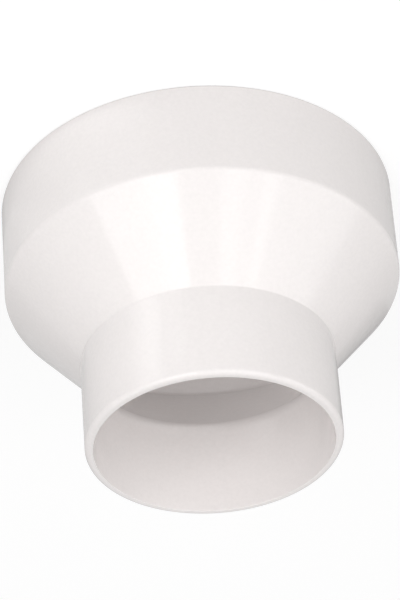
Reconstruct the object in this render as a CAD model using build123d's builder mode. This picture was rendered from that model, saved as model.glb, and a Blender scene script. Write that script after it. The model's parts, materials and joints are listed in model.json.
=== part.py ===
from build123d import *
from math import atan2, cos, sin
import os

# Duct reducer, moulded as one piece. Its socket takes the end of a wide round duct, a cone narrows
# the air path, and its spigot goes into a narrow duct. The two straight walls have one thickness,
# and the cone between them is a little thinner. The neck is crisp outside and well rounded inside.
# Sizes are in millimetres. The section is turned about Z: the reducer stands on the rim of its
# socket at Z = 0, and the spigot points up.

# Ducts that the reducer joins
wide_duct_diameter = 150.0  # outside of the duct that enters the socket
socket_clearance = 0.2  # gap all round that duct
spigot_diameter = 100.0  # outside of the spigot, which enters the narrow duct

# Lengths along the axis, taken on the outside from bend to bend
socket_length = 40.5
cone_length = 34.5
spigot_length = 40.0

# Walls, bends and rims
wall = 3.2  # of the socket and the spigot
cone_wall = 2.7
shoulder_radius = 3.0  # bend between socket and cone, on both sides
neck_radius = 1.0  # outside of the bend between cone and spigot
bore_neck_radius = 10.0  # inside of that bend, along the air path
rim_land = 1.0  # flat ring left between the rounded edges of each rim
bore_edge_radius = 0.2  # where the spigot's bore meets its end

# Outside of the section, from the socket's rim to the spigot's end
socket_radius = wide_duct_diameter / 2 + socket_clearance + wall
spigot_radius = spigot_diameter / 2
shoulder_height = socket_length
neck_height = shoulder_height + cone_length
end_height = neck_height + spigot_length

# Both bends turn by the cone's lean, so on the inside they lie lower by the same drop
cone_lean = atan2(socket_radius - spigot_radius, cone_length)
bend_drop = (cone_wall - wall * cos(cone_lean)) / sin(cone_lean)

# Rounded edges that leave the land on each rim
socket_edge_radius = (wall - rim_land) / 2
spigot_edge_radius = wall - rim_land - bore_edge_radius

with BuildPart() as reducer_body:
    with BuildSketch(Plane.XZ):
        with BuildLine():
            outside = FilletPolyline(
                (socket_radius, 0),
                (socket_radius, shoulder_height),
                (spigot_radius, neck_height),
                (spigot_radius, end_height),
                radius=(shoulder_radius, neck_radius),
            )
            inside = FilletPolyline(
                (socket_radius - wall, 0),
                (socket_radius - wall, shoulder_height - bend_drop),
                (spigot_radius - wall, neck_height - bend_drop),
                (spigot_radius - wall, end_height),
                radius=(shoulder_radius, bore_neck_radius),
            )
            Line(outside @ 0, inside @ 0)
            Line(outside @ 1, inside @ 1)
        make_face()
    revolve(axis=Axis.Z)

    circles = reducer_body.edges().filter_by(GeomType.CIRCLE)
    fillet(circles.group_by(Axis.Z)[0], socket_edge_radius)

    circles = reducer_body.edges().filter_by(GeomType.CIRCLE)
    fillet(circles.group_by(Axis.Z)[-1].sort_by(SortBy.RADIUS)[-1], spigot_edge_radius)

    circles = reducer_body.edges().filter_by(GeomType.CIRCLE)
    fillet(circles.group_by(Axis.Z)[-1].sort_by(SortBy.RADIUS)[0], bore_edge_radius)

reducer_body.part.label = "reducer_body"

os.makedirs("parts", exist_ok=True)
export_step(reducer_body.part, "parts/reducer_body.step")
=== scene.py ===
"""Duct reducer in gloss white plastic, standing on its wide socket under soft studio light.

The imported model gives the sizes. This script gives the looks: the wall as one smooth surface turned
about the duct axis, its moulded finish, a white floor, soft panels of light and the photograph's
camera. Lengths are in metres and angles in degrees. The spigot points up along +Z.
"""
import json
import logging
import math
from dataclasses import dataclass
from enum import Enum
from typing import Any, Optional, Union

import bpy
import numpy as np
from mathutils import Matrix, Vector


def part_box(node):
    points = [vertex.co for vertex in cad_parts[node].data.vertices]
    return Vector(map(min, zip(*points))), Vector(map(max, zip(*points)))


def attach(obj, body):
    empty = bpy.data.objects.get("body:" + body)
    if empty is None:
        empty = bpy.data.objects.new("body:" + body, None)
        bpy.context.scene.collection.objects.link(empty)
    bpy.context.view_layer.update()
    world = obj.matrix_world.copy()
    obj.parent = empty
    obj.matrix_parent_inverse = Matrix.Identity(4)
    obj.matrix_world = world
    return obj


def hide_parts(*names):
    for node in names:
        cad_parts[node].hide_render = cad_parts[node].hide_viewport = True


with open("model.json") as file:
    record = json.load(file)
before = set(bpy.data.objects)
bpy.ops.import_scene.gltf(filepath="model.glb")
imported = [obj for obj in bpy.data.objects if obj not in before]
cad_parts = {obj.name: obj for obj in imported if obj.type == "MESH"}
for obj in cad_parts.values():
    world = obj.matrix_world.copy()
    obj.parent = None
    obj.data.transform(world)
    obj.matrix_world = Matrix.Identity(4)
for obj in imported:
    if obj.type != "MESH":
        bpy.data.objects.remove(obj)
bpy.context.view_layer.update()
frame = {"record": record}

LOG = logging.getLogger("duct_reducer")
MILLIMETRE = 0.001

Colour = tuple[float, float, float]
Number = Union[float, "Value"]
Socket = Union[float, Colour, bpy.types.NodeSocket, "Value"]
WHITE: Colour = (1.0, 1.0, 1.0)
MIRRORED_WHITE = 0.2  # share of the white background that a gloss or a glass shows
NOISE_MIDDLE = 0.5  # what a noise gives on average


class BackgroundRay(Enum):
    """The rays that meet the floor or the world as plain white background."""

    CAMERA = "Is Camera Ray"
    MIRROR = "Is Glossy Ray"
    GLASS = "Is Transmission Ray"


class Bulge(Enum):
    """Which side of a round stretch the plastic is on."""

    FULL = 1.0
    HOLLOW = -1.0


class Facing(Enum):
    """Which way a light panel looks, as its turn from looking straight down."""

    UPRIGHT = 90.0
    SLANTED_UP = 126.0
    UP = 180.0


class Value:
    """A number in a shader that may change over the surface, with the usual arithmetic."""

    def __init__(self, tree: "ShaderTree", socket: bpy.types.NodeSocket) -> None:
        """Keep the tree and the output socket that gives the number."""
        self.tree = tree
        self.socket = socket

    def __add__(self, other: Number) -> "Value":
        """Give this number plus another."""
        return self.tree.maths("ADD", self, other)

    def __radd__(self, other: Number) -> "Value":
        """Give another number plus this one."""
        return self.tree.maths("ADD", other, self)

    def __sub__(self, other: Number) -> "Value":
        """Give this number less another."""
        return self.tree.maths("SUBTRACT", self, other)

    def __rsub__(self, other: Number) -> "Value":
        """Give another number less this one."""
        return self.tree.maths("SUBTRACT", other, self)

    def __mul__(self, other: Number) -> "Value":
        """Give this number times another."""
        return self.tree.maths("MULTIPLY", self, other)

    def __rmul__(self, other: Number) -> "Value":
        """Give another number times this one."""
        return self.tree.maths("MULTIPLY", other, self)

    def __or__(self, other: Number) -> "Value":
        """Give the larger of two masks, which is where either one shows."""
        return self.tree.maths("MAXIMUM", self, other)

    def __ror__(self, other: Number) -> "Value":
        """Give the larger of two masks, the other one first."""
        return self.tree.maths("MAXIMUM", other, self)


class ShaderTree:
    """The nodes of one material or of the world."""

    def __init__(self, owner: Union[bpy.types.Material, bpy.types.World]) -> None:
        """Start with an empty tree.

        Args:
            owner: the material or world that the nodes belong to.
        """
        owner.use_nodes = True
        self.tree = owner.node_tree
        self.tree.nodes.clear()

    def node(
        self,
        kind: str,
        settings: Optional[dict[str, Any]] = None,
        inputs: Optional[dict[str, Socket]] = None,
    ) -> bpy.types.Node:
        """Add one node, set it up, then fill or link its sockets.

        Args:
            kind: Blender's name for the node's type.
            settings: the node's own properties, which decide the sockets it has.
            inputs: a plain value or a link for each input, by the socket's identifier.

        Returns:
            The new node.
        """
        made = self.tree.nodes.new(kind)
        for name, setting in (settings or {}).items():
            setattr(made, name, setting)
        sockets = {socket.identifier: socket for socket in made.inputs}
        for name, given in (inputs or {}).items():
            if isinstance(given, Value):
                given = given.socket
            if isinstance(given, bpy.types.NodeSocket):
                self.tree.links.new(given, sockets[name])
            elif isinstance(given, tuple) and sockets[name].type == "RGBA":
                sockets[name].default_value = (*given, 1.0)
            else:
                sockets[name].default_value = given
        return made

    def maths(self, operation: str, first: Number, second: Number) -> Value:
        """Add a Math node.

        Args:
            operation: what it does with its two numbers.
            first: the first number.
            second: the second number.

        Returns:
            The number that it gives.
        """
        made = self.node(
            "ShaderNodeMath", {"operation": operation}, {"Value": first, "Value_001": second}
        )
        return Value(self, made.outputs["Value"])

    def noise(self, place: bpy.types.NodeSocket, size: float, detail: float) -> Value:
        """Add soft random blotches that swing about zero, from about -0.5 to 0.5.

        Args:
            place: the coordinates that the blotches stay fixed to.
            size: how far apart the blotches are.
            detail: how many finer layers are added to them.

        Returns:
            How far each point lies above or below the average.
        """
        made = self.node(
            "ShaderNodeTexNoise", inputs={"Vector": place, "Scale": 1 / size, "Detail": detail}
        )
        return Value(self, made.outputs["Fac"]) - NOISE_MIDDLE

    def mix(self, share: Value, first: Colour, second: Colour) -> bpy.types.NodeSocket:
        """Blend two colours.

        Args:
            share: 0 where the first colour shows and 1 where the second does.
            first: the colour at 0.
            second: the colour at 1.

        Returns:
            The blended colour.
        """
        made = self.node(
            "ShaderNodeMix",
            {"data_type": "RGBA"},
            {"Factor_Float": share, "A_Color": first, "B_Color": second},
        )
        return next(socket for socket in made.outputs if socket.identifier == "Result_Color")

    def background(self) -> Value:
        """Tell rays that show the white background from rays that carry light.

        Returns:
            1 for rays straight from the camera, the mirrored share for rays that a gloss or a glass
            sends on, and 0 for all other rays.
        """
        path = self.node("ShaderNodeLightPath")
        camera, mirror, glass = (Value(self, path.outputs[ray.value]) for ray in BackgroundRay)
        return camera | MIRRORED_WHITE * (mirror | glass)

    def finish(self, kind: str, shader: bpy.types.NodeSocket) -> None:
        """Send a finished shader to an output node of the named type."""
        self.node(kind, inputs={"Surface": shader})


@dataclass(frozen=True)
class GlossPlastic:
    """White plastic as the mould leaves it: a faint cloud and grain, and a gloss with a soft ripple.

    Attributes:
        name: the material's name.
        colour: the average colour, as linear light.
        swing: how much lighter or darker the colour may get, as a share of it.
        cloud_size: distance between the broad clouds in the colour.
        cloud_layers: finer layers added to the clouds.
        grain_size: distance between the fine specks in the colour and the surface.
        grain_layers: finer layers added to the specks.
        grain_share: part of the colour's swing that is grain, the rest being cloud.
        roughness: average roughness of the gloss.
        roughness_swing: how much the roughness follows the grain.
        ripple_size: distance between the low waves that the mould leaves.
        ripple_layers: finer layers added to the waves.
        ripple_height: height of those waves.
        grain_height: height of the fine specks.
        refraction: refractive index, which sets how strong the gloss is.
    """

    name: str = "moulded_gloss_white"
    colour: Colour = (0.94, 0.9, 0.888)
    swing: float = 0.055
    cloud_size: float = 30 * MILLIMETRE
    cloud_layers: float = 1.0
    grain_size: float = 1.4 * MILLIMETRE
    grain_layers: float = 2.0
    grain_share: float = 0.7
    roughness: float = 0.115
    roughness_swing: float = 0.05
    ripple_size: float = 5 * MILLIMETRE
    ripple_layers: float = 0.0
    ripple_height: float = 0.004 * MILLIMETRE
    grain_height: float = 0.0004 * MILLIMETRE
    refraction: float = 1.5

    def material(self) -> bpy.types.Material:
        """Make the plastic's shader.

        Returns:
            The material, with its patterns fixed to the piece.
        """
        made = bpy.data.materials.new(self.name)
        tree = ShaderTree(made)
        place = tree.node("ShaderNodeTexCoord").outputs["Object"]
        cloud = tree.noise(place, self.cloud_size, self.cloud_layers)
        grain = tree.noise(place, self.grain_size, self.grain_layers)
        ripple = tree.noise(place, self.ripple_size, self.ripple_layers)
        share = NOISE_MIDDLE + (1 - self.grain_share) * cloud + self.grain_share * grain
        dark = tuple(part * (1 - self.swing) for part in self.colour)
        light = tuple(part * (1 + self.swing) for part in self.colour)
        height = ripple * self.ripple_height + grain * self.grain_height
        bump = tree.node(
            "ShaderNodeBump", inputs={"Strength": 1.0, "Distance": 1.0, "Height": height}
        )
        shader = tree.node(
            "ShaderNodeBsdfPrincipled",
            inputs={
                "Base Color": tree.mix(share, dark, light),
                "Roughness": self.roughness + self.roughness_swing * grain,
                "IOR": self.refraction,
                "Normal": bump.outputs["Normal"],
            },
        )
        tree.finish("ShaderNodeOutputMaterial", shader.outputs["BSDF"])
        return made


@dataclass(frozen=True)
class WhiteFloor:
    """White floor that shows as plain background and still takes the reducer's shadow.

    Attributes:
        name: the material's name.
        colour: the floor's colour, as the light meets it.
        glow: brightness of the white that the camera sees in place of that colour.
        shade: how strongly the light and the shadows on the floor show in that white.
    """

    name: str = "white_floor"
    colour: Colour = (0.6, 0.6, 0.6)
    glow: float = 0.7
    shade: Colour = (0.38, 0.38, 0.38)

    def material(self) -> bpy.types.Material:
        """Make the floor's shader.

        Returns:
            The material.
        """
        made = bpy.data.materials.new(self.name)
        tree = ShaderTree(made)
        matte = tree.node("ShaderNodeBsdfDiffuse", inputs={"Color": self.colour})
        glow = tree.node("ShaderNodeEmission", inputs={"Color": WHITE, "Strength": self.glow})
        shade = tree.node("ShaderNodeBsdfDiffuse", inputs={"Color": self.shade})
        white = tree.node(
            "ShaderNodeAddShader",
            inputs={"Shader": glow.outputs["Emission"], "Shader_001": shade.outputs["BSDF"]},
        )
        both = tree.node(
            "ShaderNodeMixShader",
            inputs={
                "Fac": tree.background(),
                "Shader": matte.outputs["BSDF"],
                "Shader_001": white.outputs["Shader"],
            },
        )
        tree.finish("ShaderNodeOutputMaterial", both.outputs["Shader"])
        return made


@dataclass(frozen=True)
class MatteCard:
    """Matte grey or white card.

    Attributes:
        name: the material's name.
        grey: how much of the light it gives back.
    """

    name: str
    grey: float

    def material(self) -> bpy.types.Material:
        """Make the card's shader.

        Returns:
            The material.
        """
        made = bpy.data.materials.new(self.name)
        tree = ShaderTree(made)
        matte = tree.node("ShaderNodeBsdfDiffuse", inputs={"Color": (self.grey,) * 3})
        tree.finish("ShaderNodeOutputMaterial", matte.outputs["BSDF"])
        return made


@dataclass(frozen=True)
class Arc:
    """A round stretch of the section.

    Attributes:
        centre: the circle's distance from the duct axis and its height.
        radius: the circle's radius.
        start: where the stretch begins, as an angle from straight out towards straight up.
        end: where it ends.
        bulge: whether the plastic is inside the circle or outside it.
    """

    centre: tuple[float, float]
    radius: float
    start: float
    end: float
    bulge: Bulge

    def sweep(self, steps: int) -> tuple[np.ndarray, np.ndarray]:
        """Step evenly along the stretch.

        A point is the centre plus the radius times (cosine, sine) of its angle. Its normal is that
        (cosine, sine), turned round where the plastic is outside the circle.

        Args:
            steps: how many equal steps to take.

        Returns:
            The points and their outward normals, each as rows of (distance from the axis, height).
        """
        angles = np.radians(np.linspace(self.start, self.end, steps + 1))
        spokes = np.stack([np.cos(angles), np.sin(angles)], axis=1)
        return np.array(self.centre) + self.radius * spokes, self.bulge.value * spokes


@dataclass(frozen=True)
class ReducerBody:
    """The whole moulding: a wide socket, a cone and a narrow spigot in one wall.

    Attributes:
        outer_radius: outside of the socket.
        socket_radius: bore of the socket.
        spigot_radius: outside of the spigot.
        height: from the socket's rim to the spigot's end.
        socket_top: where the socket's straight wall ends.
        spigot_bottom: where the spigot's straight wall begins.
        cone_wall: thickness of the cone, where the rest has that of the socket.
        shoulder_bend: radius of the bend between socket and cone, on both sides.
        neck_bend: outside radius of the bend between cone and spigot.
        bore_bend: inside radius of that bend.
        rim_land: flat ring between the rounded edges of each rim.
        bore_edge: radius where the spigot's bore meets its end.
        segments: steps round the axis.
        arc_steps: steps along each round stretch of the section.
        longest_step: longest step along a straight wall.
    """

    outer_radius: float
    socket_radius: float
    spigot_radius: float
    height: float
    socket_top: float
    spigot_bottom: float
    cone_wall: float = 2.7 * MILLIMETRE
    shoulder_bend: float = 3.0 * MILLIMETRE
    neck_bend: float = 1.0 * MILLIMETRE
    bore_bend: float = 10.0 * MILLIMETRE
    rim_land: float = 1.0 * MILLIMETRE
    bore_edge: float = 0.2 * MILLIMETRE
    segments: int = 384
    arc_steps: int = 10
    longest_step: float = 3.0 * MILLIMETRE

    @classmethod
    def from_frame(cls, node: str) -> "ReducerBody":
        """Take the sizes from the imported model.

        Args:
            node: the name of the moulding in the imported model.

        Returns:
            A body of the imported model's size.
        """
        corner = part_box(node)[1]
        mounts = {mount["name"]: mount for mount in frame["record"]["mounts"]}
        socket, spigot = mounts["socket"], mounts["spigot"]
        return cls(
            outer_radius=corner[0],
            socket_radius=socket["dims"]["r_mm"] * MILLIMETRE,
            spigot_radius=spigot["dims"]["r_mm"] * MILLIMETRE,
            height=corner[2],
            socket_top=socket["pos_m"][2] + socket["dims"]["length_mm"] * MILLIMETRE / 2,
            spigot_bottom=spigot["pos_m"][2] - spigot["dims"]["length_mm"] * MILLIMETRE / 2,
        )

    def arcs(self) -> list[Arc]:
        """List the section's round stretches, up the outside and down the inside.

        The cone leans by the angle of the wall that runs between the inside of the shoulder and the
        outside of the neck: the lean of the line between their centres, plus the arcsine of both radii
        and the cone's wall over its length. The corners on the two sides of a bend then differ in
        height by (cone wall - wall cos(lean)) / sin(lean), and a bend of radius r begins
        r tan(lean / 2) before its corner. That gives the heights of the two other centres.

        Returns:
            The stretches, which straight walls join into a closed outline.
        """
        wall = self.outer_radius - self.socket_radius
        bore_radius = self.spigot_radius - wall
        shoulder_inside = (self.socket_radius - self.shoulder_bend, self.socket_top)
        neck_outside = (self.spigot_radius + self.neck_bend, self.spigot_bottom)
        inward = shoulder_inside[0] - neck_outside[0]
        upward = neck_outside[1] - shoulder_inside[1]
        between = self.neck_bend + self.cone_wall + self.shoulder_bend
        lean = math.atan2(inward, upward) + math.asin(between / math.hypot(inward, upward))
        turn = math.degrees(lean)
        drop = (self.cone_wall - wall * math.cos(lean)) / math.sin(lean)
        rise = (self.bore_bend - self.neck_bend) * math.tan(lean / 2) - drop
        shoulder_outside = (self.outer_radius - self.shoulder_bend, self.socket_top + drop)
        neck_inside = (bore_radius + self.bore_bend, self.spigot_bottom + rise)
        rim_edge = (wall - self.rim_land) / 2
        end_edge = wall - self.rim_land - self.bore_edge
        rim_outside = (self.outer_radius - rim_edge, rim_edge)
        rim_inside = (self.socket_radius + rim_edge, rim_edge)
        end_outside = (self.spigot_radius - end_edge, self.height - end_edge)
        end_inside = (bore_radius + self.bore_edge, self.height - self.bore_edge)
        return [
            Arc(rim_outside, rim_edge, -90, 0, Bulge.FULL),
            Arc(shoulder_outside, self.shoulder_bend, 0, turn, Bulge.FULL),
            Arc(neck_outside, self.neck_bend, 180 + turn, 180, Bulge.HOLLOW),
            Arc(end_outside, end_edge, 0, 90, Bulge.FULL),
            Arc(end_inside, self.bore_edge, 90, 180, Bulge.FULL),
            Arc(neck_inside, self.bore_bend, 180, 180 + turn, Bulge.FULL),
            Arc(shoulder_inside, self.shoulder_bend, turn, 0, Bulge.HOLLOW),
            Arc(rim_inside, rim_edge, 180, 270, Bulge.FULL),
        ]

    def section(self) -> tuple[np.ndarray, np.ndarray]:
        """Join the round stretches with straight walls.

        A straight wall goes in equal steps from the end of one stretch to the start of the next, and
        keeps the normal that both have there.

        Returns:
            The closed outline's points and outward normals, as rows of (distance from axis, height).
        """
        sweeps = [arc.sweep(self.arc_steps) for arc in self.arcs()]
        points, normals = [], []
        for (here, facing), (ahead, _) in zip(sweeps, sweeps[1:] + sweeps[:1]):
            steps = math.ceil(np.linalg.norm(ahead[0] - here[-1]) / self.longest_step)
            wall = np.linspace(here[-1], ahead[0], steps + 1)[1:-1]
            points += [here, wall]
            normals += [facing, np.broadcast_to(facing[-1], wall.shape)]
        return np.concatenate(points), np.concatenate(normals)

    def turned(self, section: np.ndarray) -> np.ndarray:
        """Carry rows of (distance from the axis, height) round the axis.

        At angle a, a row (r, z) becomes (r cos a, r sin a, z), with the angles in equal steps.

        Args:
            section: the rows to carry round.

        Returns:
            One row of (x, y, z) for each section row and angle, the angles of a row together.
        """
        angles = np.arange(self.segments) * (2 * np.pi / self.segments)
        spokes = np.stack([np.cos(angles), np.sin(angles)], axis=1)
        across = section[:, None, :1] * spokes
        upward = np.broadcast_to(section[:, None, 1:], (len(section), self.segments, 1))
        return np.concatenate([across, upward], axis=2).reshape(-1, 3)

    def quads(self, rows: int) -> np.ndarray:
        """Join the points of neighbouring rows and angles into faces that look outwards.

        Args:
            rows: how many section rows there are.

        Returns:
            Four point numbers for each face, closed round the axis and along the section.
        """
        here = np.arange(rows * self.segments).reshape(rows, self.segments)
        beside = np.roll(here, -1, axis=1)
        corners = [here, beside, np.roll(beside, -1, axis=0), np.roll(here, -1, axis=0)]
        return np.stack(corners, axis=2).reshape(-1, 4)

    def build(self, name: str) -> bpy.types.Object:
        """Make the moulding as one closed mesh.

        Args:
            name: the name of the new piece.

        Returns:
            The piece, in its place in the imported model's frame.
        """
        points, normals = self.section()
        mesh = bpy.data.meshes.new(name)
        mesh.from_pydata(self.turned(points), [], self.quads(len(points)), shade_flat=False)
        mesh.normals_split_custom_set_from_vertices(self.turned(normals))
        piece = bpy.data.objects.new(name, mesh)
        bpy.context.scene.collection.objects.link(piece)
        return piece

    def dress(self, piece: bpy.types.Object, finish: GlossPlastic) -> None:
        """Give the moulding the plastic that it is made of."""
        piece.data.materials.append(finish.material())


@dataclass(frozen=True)
class Panel:
    """A flat soft lamp that stands or lies round the reducer or inside it.

    Attributes:
        name: the lamp's name.
        azimuth: where it is, as a turn about the axis from the camera's side to the photo's right.
        reach: distance of its middle from the axis.
        level: height of its middle above the floor.
        width: its size across.
        length: its size upwards, or towards the axis where it lies flat.
        facing: which way it looks.
        brightness: how bright its face is, where white paper in plain light is 1.
        spread: how widely its light fans out, less than 180 where a grid covers its face.
    """

    name: str
    azimuth: float
    reach: float
    level: float
    width: float
    length: float
    facing: Facing
    brightness: float
    spread: float = 180.0

    def build(self) -> bpy.types.Object:
        """Make the lamp, which the camera itself does not see.

        A face of brightness b gives off a power of pi times b for each square metre.

        Returns:
            The lamp in its place.
        """
        lamp = bpy.data.lights.new(self.name, "AREA")
        lamp.shape = "RECTANGLE"
        lamp.size = self.width
        lamp.size_y = self.length
        lamp.spread = math.radians(self.spread)
        lamp.energy = math.pi * self.brightness * self.width * self.length
        stand = bpy.data.objects.new(self.name, lamp)
        bpy.context.scene.collection.objects.link(stand)
        place = Matrix.Translation((0, -self.reach, self.level))
        around = Matrix.Rotation(math.radians(-self.azimuth), 4, "Z")
        stand.matrix_world = around @ place @ Matrix.Rotation(math.radians(self.facing.value), 4, "X")
        stand.visible_camera = False
        return stand


@dataclass(frozen=True)
class Board:
    """A flat board that lies level and is no part of the reducer.

    Attributes:
        name: the board's name.
        place: where its middle is.
        width: its size across.
        length: its size along.
        finish: what it is made of.
        turn: its turn about the upright axis.
    """

    name: str
    place: tuple[float, float, float]
    width: float
    length: float
    finish: Union[WhiteFloor, MatteCard]
    turn: float = 0.0

    def build(self) -> bpy.types.Object:
        """Make the board as one face.

        Each corner is half the width across and half the length along from the middle.

        Returns:
            The board in its place.
        """
        corners = np.array([(-1, -1, 0), (1, -1, 0), (1, 1, 0), (-1, 1, 0)]) / 2
        mesh = bpy.data.meshes.new(self.name)
        mesh.from_pydata(corners * (self.width, self.length, 0), [], [(0, 1, 2, 3)])
        mesh.materials.append(self.finish.material())
        board = bpy.data.objects.new(self.name, mesh)
        bpy.context.scene.collection.objects.link(board)
        turn = Matrix.Rotation(math.radians(self.turn), 4, "Z")
        board.matrix_world = Matrix.Translation(self.place) @ turn
        return board


@dataclass(frozen=True)
class EdgeCard(Board):
    """A board behind the reducer that only its gloss shows, which paints shade (grey card) or a highlight
    (white card) into the reflection at an edge of the cone.
    """

    def build(self) -> bpy.types.Object:
        """Make the card, which the camera, the soft light and the shadows pass by.

        Returns:
            The card in its place.
        """
        card = super().build()
        card.visible_camera = False
        card.visible_diffuse = False
        card.visible_shadow = False
        return card


@dataclass(frozen=True)
class Studio:
    """A white floor, soft light from all round, two edge cards and a few light panels.

    Attributes:
        floor: the floor, a hair below the reducer's rim.
        edge_cards: the cards that paint shade into the reflection at one far edge of the cone and a
            highlight at the other.
        ambient: brightness of the light from all round.
        panels: the light panels.
    """

    floor: Board = Board("floor", (0.0, 0.0, -0.05 * MILLIMETRE), 12.0, 12.0, WhiteFloor())
    edge_cards: tuple[EdgeCard, ...] = (
        # painted reflection: the grey card paints shade and the white card a highlight, seen only in the
        # cone's gloss
        EdgeCard("dark_card", (-0.131, 0.205, 0.001), 0.085, 0.205, MatteCard("grey_card", 0.5), 45.0),
        EdgeCard("light_card", (0.131, 0.205, 0.001), 0.085, 0.205, MatteCard("white_card", 0.82), -45.0),
    )
    ambient: float = 0.535
    panels: tuple[Panel, ...] = (
        Panel("key_panel", -35.5, 1.1, 0.9, 1.03, 1.1, Facing.UPRIGHT, 1.766),
        Panel("fill_panel", 32.5, 1.2, 0.95, 0.72, 1.1, Facing.UPRIGHT, 1.065),
        Panel("front_panel", 0.0, 2.6, 1.5, 3.0, 3.0, Facing.UPRIGHT, 0.512),
        Panel("right_panel", 66.0, 1.3, 1.3, 1.2, 1.2, Facing.UPRIGHT, 0.8),
        Panel("right_low_panel", 80.0, 1.3, 0.4, 0.8, 0.6, Facing.UPRIGHT, 0.787),
        Panel("floor_card", -35.0, 0.125, 0.001, 0.07, 0.09, Facing.UP, 0.21),
        Panel("corner_card", -70.0, 0.115, 0.001, 0.05, 0.06, Facing.UP, 0.12),
        Panel("side_card", -98.0, 0.115, 0.001, 0.11, 0.06, Facing.UP, 0.135),
        Panel("low_panel", -51.0, 0.147, 0.022, 0.09, 0.05, Facing.SLANTED_UP, 0.062, 40.0),
        Panel("low_card", -25.0, 0.147, 0.022, 0.05, 0.05, Facing.SLANTED_UP, 0.022, 40.0),
        Panel("table_panel", 90.0, 0.03, 0.001, 0.07, 0.07, Facing.UP, 0.839),
        Panel("inner_card", -65.0, 0.05, 0.012, 0.04, 0.03, Facing.SLANTED_UP, 0.12, 70.0),
    )

    def build_world(self) -> bpy.types.World:
        """Make the light from all round, which shows as plain white.

        Returns:
            The world.
        """
        world = bpy.data.worlds.new("studio_white")
        tree = ShaderTree(world)
        light = tree.node("ShaderNodeBackground", inputs={"Color": WHITE, "Strength": self.ambient})
        white = tree.node("ShaderNodeBackground", inputs={"Color": WHITE, "Strength": 1.0})
        both = tree.node(
            "ShaderNodeMixShader",
            inputs={
                "Fac": tree.background(),
                "Shader": light.outputs["Background"],
                "Shader_001": white.outputs["Background"],
            },
        )
        tree.finish("ShaderNodeOutputWorld", both.outputs["Shader"])
        bpy.context.scene.world = world
        return world

    def build(self) -> None:
        """Make the floor, the cards, the light from all round and the panels."""
        for board in (self.floor, *self.edge_cards):
            LOG.info("board %s", board.build().name)
        LOG.info("world %s", self.build_world().name)
        for panel in self.panels:
            LOG.info("light %s", panel.build().name)


@dataclass(frozen=True)
class PhotoCamera:
    """The photograph's viewpoint, above the reducer's front and rolled nearly upside down.

    Attributes:
        place: where the camera is.
        tilt: its turn from looking straight down to looking level.
        roll: its turn about its own line of sight.
        lens: focal length in millimetres, for a frame whose long side is sensor wide.
        sensor: long side of the frame in millimetres.
    """

    place: tuple[float, float, float] = (0.00135, -1.1165, 0.83946)
    tilt: float = 54.592
    roll: float = 175.611
    lens: float = 207.719
    sensor: float = 36.0

    def build(self) -> bpy.types.Object:
        """Make the camera and let the scene look through it.

        Returns:
            The camera.
        """
        data = bpy.data.cameras.new("photo_camera")
        data.lens = self.lens
        data.sensor_width = self.sensor
        camera = bpy.data.objects.new("photo_camera", data)
        bpy.context.scene.collection.objects.link(camera)
        tilt = Matrix.Rotation(math.radians(self.tilt), 4, "X")
        roll = Matrix.Rotation(math.radians(self.roll), 4, "Z")
        camera.matrix_world = Matrix.Translation(self.place) @ tilt @ roll
        bpy.context.scene.camera = camera
        return camera


def main() -> None:
    """Build the camera, the studio and the reducer, and report each piece."""
    logging.basicConfig(level=logging.INFO, format="%(name)s: %(message)s")
    bpy.context.scene.view_settings.view_transform = "Standard"
    LOG.info("camera %s", PhotoCamera().build().name)
    Studio().build()
    body = ReducerBody.from_frame("reducer_body")
    piece = body.build("moulded_body")
    body.dress(piece, GlossPlastic())
    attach(piece, "root")
    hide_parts("reducer_body")
    LOG.info("piece %s with %d faces", piece.name, len(piece.data.polygons))


if __name__ == "__main__":
    main()
